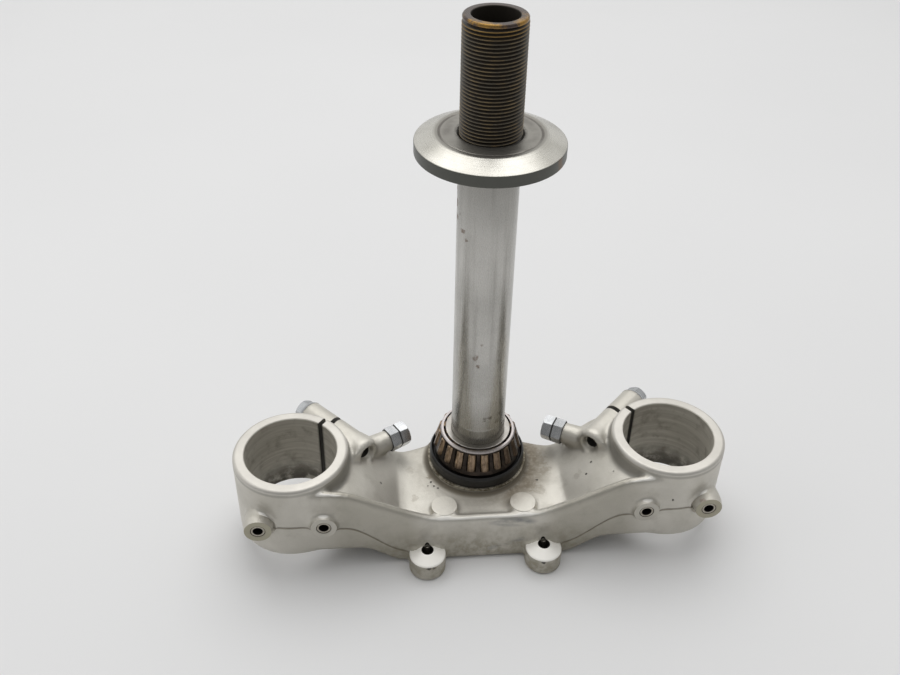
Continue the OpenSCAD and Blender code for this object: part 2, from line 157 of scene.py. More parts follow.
def finish(name, paint):
    """Makes a material: `paint` gets the place in mm and returns the shader's sockets."""
    made = bpy.data.materials.new(name)
    made.use_nodes = True
    tree = made.node_tree
    tree.nodes.clear()
    spot = node(tree, "ShaderNodeTexCoord", {}, {}, 3)
    place = node(tree, "ShaderNodeVectorMath", {"operation": "SCALE"}, {0: spot, "Scale": 1000.0})
    sockets = paint(place)
    relief = sockets.pop("relief", None)
    if relief:
        height, depth = relief
        sockets["Normal"] = node(tree, "ShaderNodeBump", {},
                                 {"Height": height, "Distance": depth * MM, "Strength": 1.0})
    shader = node(tree, "ShaderNodeBsdfPrincipled", {}, sockets)
    out = tree.nodes.new("ShaderNodeOutputMaterial")
    tree.links.new(shader.socket, out.inputs["Surface"])
    return made


# %% [markdown]
# ## Sizes that the pieces share
# They repeat the named values of the part's source, because the script can
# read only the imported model.

# %% Sizes
FORK = (90.0, -18.2)
BORE_R, RING_R, RING_LOW, RING_TOP = 21.5, 26.9, 10.0, 51.0
SEAT_R, SEAT_Z, SHOULDER_R, RACE_Z = 23.9, 24.0, 17.5, 29.15
STEM_R, STEM_SEAT_R, STEM_BORE_R, STEM_L = 12.85, 13.0, 9.3, 250.7
THREAD_R, THREAD_LOW, THREAD_TOP, PITCH = 12.75, 192.0, 249.6, 1.5
SLIT_W, SLIT_ANGLE = 2.2, 128.0
PINCH_ANGLE, PINCH_Z, PINCH_R = 46.5, 38.7, 31.2
PINCH_OUT, PINCH_IN, PINCH_BOSS_R = 22.3, 19.5, 6.8
STOP = (44.6, 4.0, 33.3)
STOP_ANGLE, NUT_H = 150.0, 5.4
GUARD = (27.65, -48.3)
PAD, PAD_R, PAD_TOP = (18.8, -33.6), 6.2, 25.5
LIP_EASE = 1.8
FRONT_X, FRONT_Y, FRONT_Z = (75.1, 104.9), -47.5, 29.4
RACE_TOP = 44.15
PINCH_BORE_R, PINCH_FAR_BORE_R, STOP_BORE_R = 4.0, 3.1, 4.0
FRONT_BORE_R, GUARD_BORE_R, PAD_BORE_R = 3.5, 2.8, 2.5
SLEEVE_R, SLEEVE_BORE_R, SLEEVE_L, SLEEVE_SUNK = 3.45, 2.25, 9, 0.15
SEAL_BORE_R, WASHER_R, WASHER_Z = 17.6, 24.5, 25
UP, FRONTWARD, BACKWARD = (0, 0, 1), (0, -1, 0), (0, 1, 0)


def heading(angle):
    return Vector((math.cos(math.radians(angle)), math.sin(math.radians(angle)), 0))


PINCH_DIR = heading(PINCH_ANGLE)
PINCH_FOOT = Vector((*FORK, PINCH_Z)) + PINCH_R * heading(PINCH_ANGLE + 90)
PINCH_IN_DIR = heading(PINCH_ANGLE + 90)
STOP_DIR = heading(STOP_ANGLE)
SLIT_SIN = math.sin(math.radians(180 - SLIT_ANGLE))
SLIT_COS = math.cos(math.radians(180 - SLIT_ANGLE))


def at(point):
    """A matrix that moves a piece from the stem axis to (x, y) in mm."""
    return Matrix.Translation(Vector((*point, 0)) * MM)


SLIT_FRAME = at(FORK) @ Matrix.Rotation(math.radians(SLIT_ANGLE), 4, "Z")

# %% [markdown]
# ## Shapes from operators
# Round pieces are turned: an outline of (radius, height) points, its corners
# eased by a vertex bevel, is spun about the stem axis. Straight pieces start
# from a cone or cube operator.

# %% Turning, rods and blocks
def turned(outline, corner=0.3, steps=160):
    """Spins an outline about Z. A first and last radius of 0 make a solid piece."""
    bm = bmesh.new()
    solid = outline[0][0] == 0
    points = [bm.verts.new((r * MM, 0, z * MM)) for r, z in outline]
    for pair in list(zip(points, points[1:])) + ([] if solid else [(points[-1], points[0])]):
        bm.edges.new(pair)
    if corner:
        bmesh.ops.bevel(bm, geom=points[1:-1] if solid else points, offset=corner * MM, segments=2,
                        profile=0.5, affect="VERTICES", clamp_overlap=True, material=-1)
    bmesh.ops.spin(bm, geom=bm.verts[:] + bm.edges[:], cent=(0, 0, 0), axis=(0, 0, 1),
                   angle=math.tau, steps=steps, use_merge=True)
    bmesh.ops.remove_doubles(bm, verts=bm.verts, dist=1e-7)
    bmesh.ops.recalc_face_normals(bm, faces=bm.faces)
    return bm


def along(start, direction):
    """A matrix that lays a piece's Z on a direction, from a point in mm."""
    turn = Vector(direction).to_track_quat("Z", "Y").to_matrix().to_4x4()
    return Matrix.Translation(Vector(start) * MM) @ turn


def add(bm, part, matrix=Matrix()):
    """Copies one bmesh into another through a matrix, and frees it."""
    bmesh.ops.transform(part, matrix=matrix, verts=part.verts)
    mesh = bpy.data.meshes.new("part")
    part.to_mesh(mesh)
    part.free()
    bm.from_mesh(mesh)
    bpy.data.meshes.remove(mesh)


def rod(bm, radius, start, direction, length, end_radius=None, segments=96):
    """A closed cylinder or cone from a point along a direction, in mm."""
    part = bmesh.new()
    bmesh.ops.create_cone(part, cap_ends=True, segments=segments, radius1=radius * MM,
                          radius2=(radius if end_radius is None else end_radius) * MM, depth=length * MM)
    bmesh.ops.translate(part, vec=(0, 0, length * MM / 2), verts=part.verts)
    add(bm, part, along(start, direction))


def block(bm, low, high, matrix=Matrix()):
    """A box between two corners in mm."""
    part = bmesh.new()
    bmesh.ops.create_cube(part, size=1)
    low, high = Vector(low) * MM, Vector(high) * MM
    bmesh.ops.scale(part, vec=high - low, verts=part.verts)
    bmesh.ops.translate(part, vec=(low + high) / 2, verts=part.verts)
    add(bm, part, matrix)


def both_sides(bm):
    """Adds the mirror image across X = 0, with its faces turned outwards again."""
    bmesh.ops.mirror(bm, geom=bm.verts[:] + bm.edges[:] + bm.faces[:], merge_dist=1e-7, axis="X")
    bmesh.ops.recalc_face_normals(bm, faces=bm.faces)


def cad_copy(name):
    """The frame's loose triangles of one node, merged into a closed skin."""
    bm = bmesh.new()
    bm.from_mesh(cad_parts[name].data)
    bmesh.ops.remove_doubles(bm, verts=bm.verts, dist=2e-6)
    return bm


def to_object(name, bm, *materials):
    mesh = bpy.data.meshes.new(name)
    bm.to_mesh(mesh)
    bm.free()
    made = bpy.data.objects.new(name, mesh)
    bpy.context.scene.collection.objects.link(made)
    for material in materials:
        mesh.materials.append(material)
    return made


def piece(name, bm, body, slot, stands_for, *materials, crease=32):
    """A finished piece: smooth where it is round, creased where it turns sharply."""
    for face in bm.faces:
        face.smooth = True
    for edge in bm.edges:
        edge.smooth = len(edge.link_faces) == 2 and edge.calc_face_angle(0) < math.radians(crease)
    made = to_object(name, bm, *materials)
    even = made.modifiers.new("even normals", "WEIGHTED_NORMAL")
    even.keep_sharp = True
    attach(made, body)
    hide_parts(*stands_for)
    print(name, len(made.data.polygons), "faces")
    return made


# %% [markdown]
# ## The casting's finish
# Sand-cast aluminium is a soft, warm grey: slightly mottled, a little rough,
# with a fine grain and dull brown dirt round the bearing seat. The front wall is
# darker and browner low down, from dirt and painted shade, and painted shade also
# darkens its flanks, the ring's inner crease, the slit and the space under the lip.
# A painted highlight lightens the upturned front edges. The mottling, the dirt and
# the painted light are masks, so each one can be tuned by itself.

# %% Marks on the casting
# Each mark is x, y, z, radius in millimetres and a strength.
PITS = [(-48.4, -21.2, 29.6, 0.9, 0.8), (-23.9, -14.6, 21.7, 0.7, 0.8),
        (-20.7, -18.8, 21.7, 0.6, 0.7), (-22.6, -17.4, 21.7, 0.5, 0.8), (-25.6, -17.0, 21.7, 0.5, 0.6),
        (-19.0, -15.5, 21.7, 0.6, 0.7), (50.7, -23.6, 31.6, 0.8, 1.0), (54.0, -18.2, 34.1, 0.7, 0.8),
        (28.5, -16.6, 21.7, 0.8, 0.8), (87.6, -45.3, 33.9, 0.8, 1.0), (-70.5, -44.6, 36.0, 0.6, 0.5),
        (-57.0, -44.5, 24.0, 0.6, 0.5), (-30.9, -45.2, 3.4, 1.1, 0.8), (62.0, -30.0, 39.0, 0.6, 0.5)]
SMUDGES = [(-24.6, -11.4, 22.4, 1.9, 1.0), (-32.3, -24.6, 21.7, 2.4, 0.6), (47.1, -21.1, 28.5, 2.8, 0.45),
           (33.5, -10.2, 21.8, 4.0, 0.6), (28.1, 4.4, 21.7, 5.0, 0.7), (29.0, -23.3, 21.7, 3.6, 0.6),
           (-33.8, -5.8, 21.8, 2.5, 0.4), (24.5, -19.5, 21.7, 4.0, 0.8), (31.0, -2.0, 21.7, 5.0, 0.7)]
CHIPS = [(-27.5, -56.8, 8.9, 1.6, 0.9), (-25.0, -56.8, 8.4, 1.2, 0.8), (26.5, -56.9, 8.4, 1.1, 0.9)]
RUST = [(102.3, -47.5, 33.6, 2.2, 0.9), (101.4, -46.4, 33.8, 1.6, 0.8), (108.6, -47.5, 28.0, 1.2, 0.5)]

# %% Cast aluminium
CAST = (0.555, 0.532, 0.477)
CAST_PALE = (0.665, 0.64, 0.583)
GRIME = (0.165, 0.128, 0.078)
RECESS_SHADE = (0.035, 0.033, 0.03)
SMEAR = (0.15, 0.16, 0.175)
OLD_OIL = (0.095, 0.075, 0.045)
WALL_DIRT_AND_SHADE, WALL_SHADE = (0.24, 0.212, 0.145), (0.27, 0.25, 0.195)
EDGE_HIGHLIGHT = (0.84, 0.825, 0.785)
LINE_DARK, PIT_DARK = (0.13, 0.105, 0.065), (0.045, 0.042, 0.038)
RUST_TONE = (0.26, 0.12, 0.07)


def from_fork(place):
    """Sideways and backward offset and distance in mm from the nearer fork axis."""
    x, y, _ = split(place)
    side, depth = abs(x) - FORK[0], y - FORK[1]
    return side, depth, span(side, depth)


def from_slit(side, depth):
    """Distance in mm from the middle plane of the fork ring's slit."""
    return abs(side * SLIT_SIN + depth * SLIT_COS)


def parting_line(x, z):
    """A thin dark line where the two halves of the mould met on the front wall."""
    out = abs(x)
    height = 8.0 + out.ease(36, 66) * 17.6 + out.ease(64, 92) * 2.2
    return abs(z - height).ease(0.95, 0.15) * out.ease(30, 42) * out.ease(101, 97)


def smears(x, z, streak):
    """Two soft grey strokes rubbed onto the middle of the front wall."""
    upper = ((x - 13) / 13) ** 2 + ((z - 21.6) / 2.9) ** 2
    lower = abs(z - 6.2 - x * 0.28).ease(1.9, 0.3) * x.ease(0, 5) * x.ease(21, 15)
    return (upper.ease(1.0, 0.15) * 0.8).either(lower * 0.75) * streak.ease(0.30, 0.62)


def paint_cast(place):
    x, y, z = split(place)
    cloud = speckle(place, 26, 4, 0.55)
    fine = speckle(place, 2.2, 3, 0.6)
    grain = speckle(place, 0.45, 2, 0.6)
    streak = speckle(place, 5, 4, 0.65, shift=9.0)
    tone = blend(cloud.ease(0.3, 0.7), CAST, CAST_PALE)
    patch = speckle(place, 12, 4, 0.6, shift=14.0)
    tone = blend(patch.ease(0.50, 0.72) * 0.30, tone, (0.33, 0.31, 0.26))
    tone = blend(grain.ease(0.55, 0.8) * 0.2, tone, (0.34, 0.325, 0.29))
    hub = from_stem(place)
    side, depth, fork = from_fork(place)
    mottle = (cloud * 0.5 + fine * 0.7).ease(0.35, 0.75)
    seat = hub.ease(25.4, 24.2) * z.ease(24.2, 23.6)
    foot = hub.ease(28.5, 25.2) * z.ease(24.2, 22.8)
    lean = x.ease(-24, 26)
    spread = (hub.ease(40, 25) * (lean * 0.65 + 0.25)) * z.ease(31, 23) * (mottle * 0.6 + 0.4)
    stain = hub.ease(43, 26) * x.ease(0, 16) * z.ease(31, 24) * (mottle * 0.35 + 0.65)
    dirt = (seat * (lean * 0.45 + 0.4)).either(foot * 0.9).either(spread * 0.85)
    dirt = dirt.either(stain * 0.92)
    tone = blend(dirt, tone, blend(hub.ease(28, 25.5), GRIME, OLD_OIL))
    # Painted shade: a dark crease where the web meets the ring, a line under the lip and the edges of the
    # slit are painted near-black.
    root = abs(fork - (RING_R + 0.6)).ease(1.6, 0.3) * abs(z - 44.5).ease(5.5, 2.0) * side.ease(-11, -19)
    under = abs(z - 48.4).ease(1.3, 0.1) * abs(fork - RING_R).ease(0.9, 0.4)
    slit = from_slit(side, depth).ease(SLIT_W / 2 + 0.35, SLIT_W / 2 - 0.05)
    slit = slit * side.ease(0, -4) * depth.ease(0, 4)
    recess_shade = (root * 0.5).either(slit * 0.95).either(under * 0.28)
    tone = blend(recess_shade, tone, RECESS_SHADE)
    front = y.ease(-42.6, -44.2)
    # Dirt and painted shade: the front wall is painted darker and browner towards the bottom.
    low = y.ease(-39, -42) * z.ease(25, 4) * abs(x).ease(84, 48) * (streak.ease(0.36, 0.66) * 0.65 + 0.35)
    tone = blend(low * 0.8, tone, WALL_DIRT_AND_SHADE)
    flank = y.ease(-39, -42) * abs(x).ease(25, 38) * abs(x).ease(80, 62) * (cloud * 0.6 + 0.4)
    tone = blend(flank * 0.6, tone, WALL_SHADE)
    # Painted highlight: faces that look up and forward along the front edges are painted pale, chosen by
    # their normal.
    facing = split(node(place.tree, "ShaderNodeTexCoord", {}, {}, 1))
    edge_highlight = (facing[2] * 0.82 - facing[1] * 0.57).ease(0.94, 0.99) * y.ease(-36, -39) * z.ease(14, 18)
    tone = blend(edge_highlight * 0.85, tone, EDGE_HIGHLIGHT)
    line = parting_line(x, z) * front * (streak * 0.6 + 0.5)
    tone = blend(line * 0.8, tone, LINE_DARK)
    smudge = marks(place, SMUDGES, 0.6, 2.0)
    tone = blend(smudge * (mottle * 0.4 + 0.5) * 0.55, tone, GRIME)
    rub = speckle(place, 7, 4, 0.6, (0.5, 1, 2.2), 4.0)
    tone = blend(smears(x, z, rub) * y.ease(-41.0, -42.2) * 0.9, tone, SMEAR)
    pit = marks(place, PITS, 0.4, 7.0)
    chip = marks(place, CHIPS, 0.5, 1.0)
    tone = blend(pit.either(chip), tone, PIT_DARK)
    tone = blend(marks(place, RUST, 0.3, 0.8) * (fine * 0.4 + 0.3), tone, RUST_TONE)
    # The dirt and the painted shade also make the surface rougher and less metallic.
    dirt_and_shade = dirt.either(low).either(recess_shade)
    rough = 0.40 + fine * 0.12 + dirt_and_shade * 0.22
    metal = 0.78 - dirt_and_shade * 0.6
    height = grain * 0.6 + fine * 0.8 + cloud * 0.5 - pit * 3.0 - line * 2.0
    return {"Base Color": tone, "Roughness": rough, "Metallic": metal, "relief": (height, 0.12)}


cast = finish("cast_aluminium_soft", paint_cast)

# %% [markdown]
# ## The machined faces
# Where the casting is turned or bored it is paler and shinier, with faint rings
# about the axis of the cut. Inside the fork bores the rings are bands of brown
# dirt, with painted shade darkest low down. Painted shade also blackens the slit,
# the holes and the mudguard hole's throat, and a painted highlight makes the
# mudguard boss pale. One finish serves every cut: it asks how far a point
# is from the nearer fork axis.

# %% Turned aluminium
TURNED, TURNED_PALE = (0.565, 0.543, 0.50), (0.645, 0.622, 0.575)
BORE_WALL, BORE_WALL_PALE = (0.46, 0.435, 0.38), (0.62, 0.595, 0.53)
GUARD_HIGHLIGHT, EYE_DULL = (0.92, 0.90, 0.85), (0.34, 0.315, 0.22)
HOLE_SHADE = (0.03, 0.028, 0.022)


def paint_turned(place):
    x, y, z = split(place)
    side, depth, fork = from_fork(place)
    hub = from_stem(place)
    fine = speckle(place, 1.4, 3, 0.6)
    cloud = speckle(place, 16, 3, 0.55, shift=3.0)
    band = speckle(place, 2.2, 3, 0.65, stretch=(0.05, 0.05, 1))
    blotch = speckle(place, 6, 4, 0.6, shift=11.0)
    inside = fork.ease(22.4, 21.8) * z.ease(51.1, 50.5)
    top = z.ease(50.6, 50.9)
    tone = blend(cloud.ease(0.3, 0.7), TURNED, TURNED_PALE)
    # Painted highlight: the mudguard boss's turned faces are painted near-white and made less metallic.
    guard = y.ease(-41, -42) * z.ease(14, 13.5)
    tone = blend(guard, tone, GUARD_HIGHLIGHT)
    # Painted shade: the mudguard hole and the groove beside it are painted near-black.
    across, deep = abs(x) - GUARD[0], y - GUARD[1]
    throat = span(across, deep).ease(2.95, 2.85).either(abs(across).ease(2.0, 1.8) * deep.ease(1.0, 1.3))
    tone = blend(throat * y.ease(-43, -44) * z.ease(17, 16), tone, (0.045, 0.04, 0.032))
    eye = y.ease(-46.6, -47.0) * z.ease(20, 21)
    tone = blend(eye * (abs(x).ease(96, 98) * 0.55 + 0.2), tone, EYE_DULL)
    wall = blend(band.ease(0.3, 0.75), BORE_WALL, BORE_WALL_PALE)
    wall = blend(blotch.ease(0.5, 0.75) * 0.45, wall, (0.16, 0.13, 0.10))
    # Painted shade, broken up by blotches: the bore wall is darker low down and towards its back.
    low = z.ease(27, 12) * depth.ease(-4, 12)
    wall = blend(low * blotch.ease(0.3, 0.55) * 0.85, wall, (0.055, 0.047, 0.035))
    # Painted shade: the bore wall beside the slit is painted near-black.
    slit = from_slit(side, depth).ease(SLIT_W / 2 + 1.2, SLIT_W / 2 - 0.05)
    slit = slit * side.ease(0, -4) * depth.ease(0, 4)
    wall = blend(slit * 0.85, wall, HOLE_SHADE)
    tone = blend(inside, tone, wall)
    # Painted shade: the slit's mouth in the bore and the pinch bolt's hole are painted near-black.
    gap_shade = slit * fork.ease(20.5, 21.4) * from_slit(side, depth).ease(1.25, 1.05)
    hole = abs(z - PINCH_Z).ease(8, 4.5) * fork.ease(27.5, 28.5) * depth.ease(0, 4)
    seat = hub.ease(25.4, 24.0) * hub.ease(12, 14)
    tone = blend(gap_shade.either(hole * 0.9) * 0.93, tone, HOLE_SHADE)
    tone = blend(seat * (cloud * 0.6 + 0.35), tone, (0.17, 0.145, 0.10))
    rough = 0.42 + fine * 0.12 + inside * 0.06
    height = band * inside * 1.2 + fine * 0.4 + (fork * 9).math("SINE") * top * 0.06
    metal = 0.80 - inside * 0.35 - slit * 0.3 - guard * 0.5
    return {"Base Color": tone, "Roughness": rough, "Metallic": metal, "relief": (height, 0.05)}


machined = finish("turned_aluminium", paint_turned)

# %% [markdown]
# ## Casting, then machining
# A casting has no sharp corner, but its bores, seats and faces are crisp. So
# the clamp is made in the order of the factory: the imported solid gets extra
# stock on every face that will be cut, a voxel remesh and a smooth modifier
# melt its corners together, and boolean cutters take the stock off again. The
# cutters carry the turned finish, and each cut keeps it.

# %% The cast blank
def add_stock():
    """Metal on every face that is cut later, and fuller roots for the pinch bosses."""
    stock = bmesh.new()
    rod(stock, RING_R + 0.05, (*FORK, RING_LOW - 1.5), UP, RING_TOP - RING_LOW + 2.1)
    block(stock, (20, -2, 32), (PINCH_R + 5.2, 2, 43.6), SLIT_FRAME)
    rod(stock, PINCH_BOSS_R, PINCH_FOOT - PINCH_DIR * 16, PINCH_DIR, PINCH_OUT + 17.2)
    rod(stock, 5.3, Vector(STOP) - STOP_DIR * 8, STOP_DIR, 9.3)
    for x, radius in zip(FRONT_X, (6.3, 7.0)):
        rod(stock, radius, (x, FRONT_Y + 4, FRONT_Z), FRONTWARD, 5.2, radius - 0.4)
    for shift, radius, low in ((-2.0, 6.4, 14), (-3.4, 6.0, 10)):
        rod(stock, radius, PINCH_FOOT - PINCH_DIR * low + PINCH_IN_DIR * shift, PINCH_DIR, low + 6, 5.0)
    both_sides(stock)
    rod(stock, SEAT_R + 0.2, (0, 0, 15), UP, SEAT_Z + 1.3 - 15)
    rod(stock, SHOULDER_R + 0.6, (0, 0, -1.2), UP, RACE_Z + 2.4)
    rod(stock, SEAT_R, (0, 0, -1.2), UP, 8)
    return stock


def cast_blank():
    """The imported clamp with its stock, remeshed and smoothed like a casting."""
    bm = cad_copy("lower_clamp")
    add(bm, add_stock())
    blank = to_object("blank", bm)
    melt = blank.modifiers.new("melt", "REMESH")
    melt.mode, melt.voxel_size = "VOXEL", 1.05 * MM
    soften = blank.modifiers.new("soften", "SMOOTH")
    soften.factor, soften.iterations = 0.5, 7
    return blank


# %% The cutters
def ring_cutter():
    """Bores the fork rings, faces them top and bottom and rounds their lip."""
    bm = bmesh.new()
    lip = [(RING_R - LIP_EASE * (1 - math.sin(a)), RING_TOP - LIP_EASE * (1 - math.cos(a)))
           for a in (math.radians(15 * step) for step in range(6, -1, -1))]
    outline = [(0, 60), (33, 60), (33, RING_TOP - LIP_EASE), *lip,
               (BORE_R + 0.4, RING_TOP), (BORE_R, RING_TOP - 0.4), (BORE_R, RING_LOW + 0.4),
               (BORE_R + 0.4, RING_LOW), (28.6, RING_LOW), (28.6, 5), (0, 5)]
    add(bm, turned(outline, corner=0, steps=192), at(FORK))
    both_sides(bm)
    return bm


def hub_cutter():
    """Turns the bearing seat and the shoulder and bores the hub for the stem."""
    outline = [(0, 42), (31, 42), (31, SEAT_Z), (SHOULDER_R, SEAT_Z), (SHOULDER_R, RACE_Z),
               (STEM_SEAT_R, RACE_Z), (STEM_SEAT_R, -9), (0, -9)]
    return turned(outline, corner=0, steps=160)


def drill_cutter():
    """All the drilled holes, and the small groove beside each mudguard hole."""
    bm = bmesh.new()
    rod(bm, PINCH_BORE_R, PINCH_FOOT - PINCH_DIR * 13.5, PINCH_DIR, 13.5 + PINCH_OUT + 2)
    rod(bm, PINCH_FAR_BORE_R, PINCH_FOOT - PINCH_DIR * (PINCH_IN + 8), PINCH_DIR, PINCH_IN - 4)
    rod(bm, STOP_BORE_R, Vector(STOP) - STOP_DIR * 12, STOP_DIR, 14)
    for x in FRONT_X:
        rod(bm, FRONT_BORE_R, (x, FRONT_Y + 10, FRONT_Z), FRONTWARD, 14)
    rod(bm, GUARD_BORE_R, (*GUARD, -4), UP, 20)
    rod(bm, 1.7, (GUARD[0], GUARD[1] + 2.0, -4), UP, 19.5, 1.3)
    rod(bm, PAD_BORE_R, (*PAD, -4), UP, 21.7)
    both_sides(bm)
    return bm


def face_cutter():
    """Faces the ends of the pinch, stop and front bosses."""
    bm = bmesh.new()
    rod(bm, 9.5, PINCH_FOOT + PINCH_DIR * PINCH_OUT, PINCH_DIR, 14)
    rod(bm, 8.0, STOP, STOP_DIR, 12)
    for x, radius in zip(FRONT_X, (8.5, 9.0)):
        rod(bm, radius, (x, FRONT_Y, FRONT_Z), FRONTWARD, 6)
    both_sides(bm)
    return bm


def boss_trim():
    """Turns the side of the outer front boss down to a slightly tapered spigot."""
    bm = turned([(6.0, -1), (9, -1), (7.9, 2.8), (6.95, 3.5)], corner=0, steps=96)
    bmesh.ops.transform(bm, matrix=along((FRONT_X[1], FRONT_Y, FRONT_Z), BACKWARD), verts=bm.verts)
    both_sides(bm)
    return bm


def crisp_bosses():
    """The round pads and the mudguard bosses, whose edges stay crisp."""
    bm = bmesh.new()
    pad = turned([(0, 14), (PAD_R, 14), (PAD_R, PAD_TOP), (0, PAD_TOP)], 0.35, 96)
    add(bm, pad, at(PAD))
    guard_outline = [(0, 0.02), (7.9, 0.02), (8.6, 0.9), (8.6, 9.0), (8.15, 9.55), (1, 12.6), (0, 12.6)]
    guard = turned(guard_outline, 0.15, 128)
    for face in guard.faces:
        face.material_index = int(0.5 < face.normal.z < 0.99)
    add(bm, guard, at(GUARD))
    both_sides(bm)
    return bm


def base_cutter():
    """Planes the clamp's underside flat at height 0."""
    bm = bmesh.new()
    block(bm, (-130, -80, -8), (130, 60, 0))
    return bm


def slit_cutter():
    """Saws the slit through each fork ring and its pinch boss."""
    bm = bmesh.new()
    block(bm, (18, -SLIT_W / 2, 2), (PINCH_R + 14, SLIT_W / 2, 58), SLIT_FRAME)
    both_sides(bm)
    return bm


def cutter(bm):
    """Marks a tool that leaves the turned finish on what it cuts."""
    for face in bm.faces:
        face.material_index = 1
    return "DIFFERENCE", bm


def machine(blank, tools):
    """Works the blank with each tool in turn and returns the result as a bmesh."""
    blank.data.materials.append(cast)
    used = []
    for name, (operation, shape) in tools.items():
        tool = to_object(name, shape, cast, machined)
        step = blank.modifiers.new(name, "BOOLEAN")
        step.operation, step.solver, step.object = operation, "MANIFOLD", tool
        step.material_mode = "TRANSFER"
        used.append(tool)
    bpy.context.view_layer.update()
    result = blank.evaluated_get(bpy.context.evaluated_depsgraph_get())
    mesh = bpy.data.meshes.new_from_object(result)
    names = [material.name for material in mesh.materials]
    bm = bmesh.new()
    bm.from_mesh(mesh)
    for face in bm.faces:
        face.material_index = int(names[face.material_index] == machined.name)
    for leftover in used + [blank]:
        bpy.data.objects.remove(leftover)
    return bm


# %% The finished clamp
clamp_mesh = machine(cast_blank(), {
    "crisp bosses": ("UNION", crisp_bosses()), "boss trim": ("DIFFERENCE", boss_trim()),
    "ring tool": cutter(ring_cutter()), "hub tool": cutter(hub_cutter()),
    "base tool": cutter(base_cutter()), "facing tool": cutter(face_cutter()),
    "drill": cutter(drill_cutter()), "saw": cutter(slit_cutter())})
piece("cast_clamp", clamp_mesh, "yoke", "cast_aluminium", ["lower_clamp"], cast, machined, crease=38)

# %% [markdown]
# ## The stem
# A ground steel tube with a 1.5 mm thread. The tube is turned, and the thread is
# one V-shaped outline swept round and up by a spin that climbs a pitch a turn,
# so its grooves run as a real screw's do and catch the light as fine lines.

# %% Stem steel
STAINS = [(-12.8, 0.6, 178.0, 2.4, 0.9), (-12.8, -1.0, 172.0, 2.0, 1.0), (-12.6, -2.0, 165.5, 1.6, 0.9),
          (-10.8, -7.0, 161.3, 1.5, 0.7), (-9.6, -8.5, 157.5, 1.3, 0.6), (-3.8, -12.3, 97.0, 1.7, 0.7),
          (-3.0, -12.5, 92.5, 1.4, 0.7), (-1.6, -12.7, 105.0, 0.8, 0.5)]
SCRAPES = [(1.5, -12.8, 59.9, 1.3, 0.8), (4.0, -12.2, 60.4, 1.0, 0.7), (7.4, -10.5, 56.5, 1.6, 0.7),
           (8.8, -9.4, 61.0, 1.7, 0.6), (-12.0, -4.6, 168.0, 0.9, 0.8)]


def paint_stem(place):
    x, y, z = split(place)
    r = from_stem(place)
    brush = speckle(place, 0.5, 3, 0.6, stretch=(1, 1, 0.1))
    run = speckle(place, 4.5, 3, 0.55, stretch=(1, 1, 0.05), shift=2.0)
    cloud = speckle(place, 30, 3, 0.5)
    fine = speckle(place, 0.8, 3, 0.6)
    tone = blend(cloud.ease(0.3, 0.7), (0.44, 0.43, 0.405), (0.54, 0.527, 0.50))
    tone = blend(run.ease(0.45, 0.68) * 0.45, tone, (0.27, 0.262, 0.24))
    tone = blend(brush.ease(0.62, 0.9) * 0.4, tone, (0.33, 0.32, 0.30))
    # Painted shadow under the collar: the stem is painted darker towards its top.
    tone = blend(z.ease(150, 190) * 0.6, tone, (0.20, 0.195, 0.18))
    stain = marks(place, STAINS, 0.7, 6.0)
    tone = blend(stain * fine.ease(0.3, 0.55), tone, (0.13, 0.07, 0.035))
    tone = blend(marks(place, SCRAPES, 0.8, 8.0), tone, (0.07, 0.065, 0.05))
    film = z.ease(96, 50) * x.ease(-2, 12) * (fine * 0.5 + 0.5)
    tone = blend(film * 0.75, tone, (0.19, 0.165, 0.11))
    tone = blend(z.ease(74, 52) * 0.45, tone, (0.20, 0.185, 0.15))
    seat = z.ease(52.9, 52.0)
    tone = blend(seat * 0.6, tone, (0.20, 0.19, 0.165))
    crown = z.ease(248.9, 249.3) * r.ease(9.3, 9.6)
    # Painted highlight: the front of the top rim is painted gold, the rest dark brown.
    front_highlight = speckle(place, 7, 3, 0.6, shift=6.0).ease(0.40, 0.58) * y.ease(4, -8)
    crown_tone_with_highlight = blend(front_highlight, (0.085, 0.066, 0.058), (0.33, 0.19, 0.05))
    tone = blend(crown, tone, crown_tone_with_highlight)
    # Painted shade: the inside of the tube and the core behind the thread are painted near-black.
    bore_shade = r.ease(9.8, 9.4)
    tone = blend(bore_shade, tone, (0.03, 0.024, 0.018))
    root = z.ease(191.4, 192.4) * z.ease(249.3, 248.9)
    tone = blend(root * (1 - bore_shade), tone, (0.02, 0.016, 0.012))
    rough = brush * 0.10 + 0.22 + stain * 0.25 + bore_shade * 0.3
    return {"Base Color": tone, "Roughness": rough, "Metallic": 0.92 - bore_shade * 0.6 - stain * 0.4,
            "relief": (brush + stain, 0.02)}


def paint_thread(place):
    r = from_stem(place)
    z = split(place)[2]
    fine = speckle(place, 0.9, 3, 0.65)
    cloud = speckle(place, 6, 3, 0.6)
    crest = r.ease(12.40, 12.72)
    gold = blend(cloud.ease(0.40, 0.68), (0.13, 0.115, 0.085), (0.27, 0.20, 0.105))
    gold = blend(z.ease(244, 247), gold, (0.30, 0.185, 0.05))
    tone = blend(crest * (fine * 0.8 + 0.35), (0.034, 0.027, 0.02), gold)
    rough = fine * 0.5 + cloud * 0.2 + 0.02
    return {"Base Color": tone, "Roughness": rough, "Metallic": 0.25 + crest * 0.5, "relief": (fine, 0.06)}


stem_steel = finish("ground_steel", paint_stem)
thread_steel = finish("oily_thread", paint_thread)

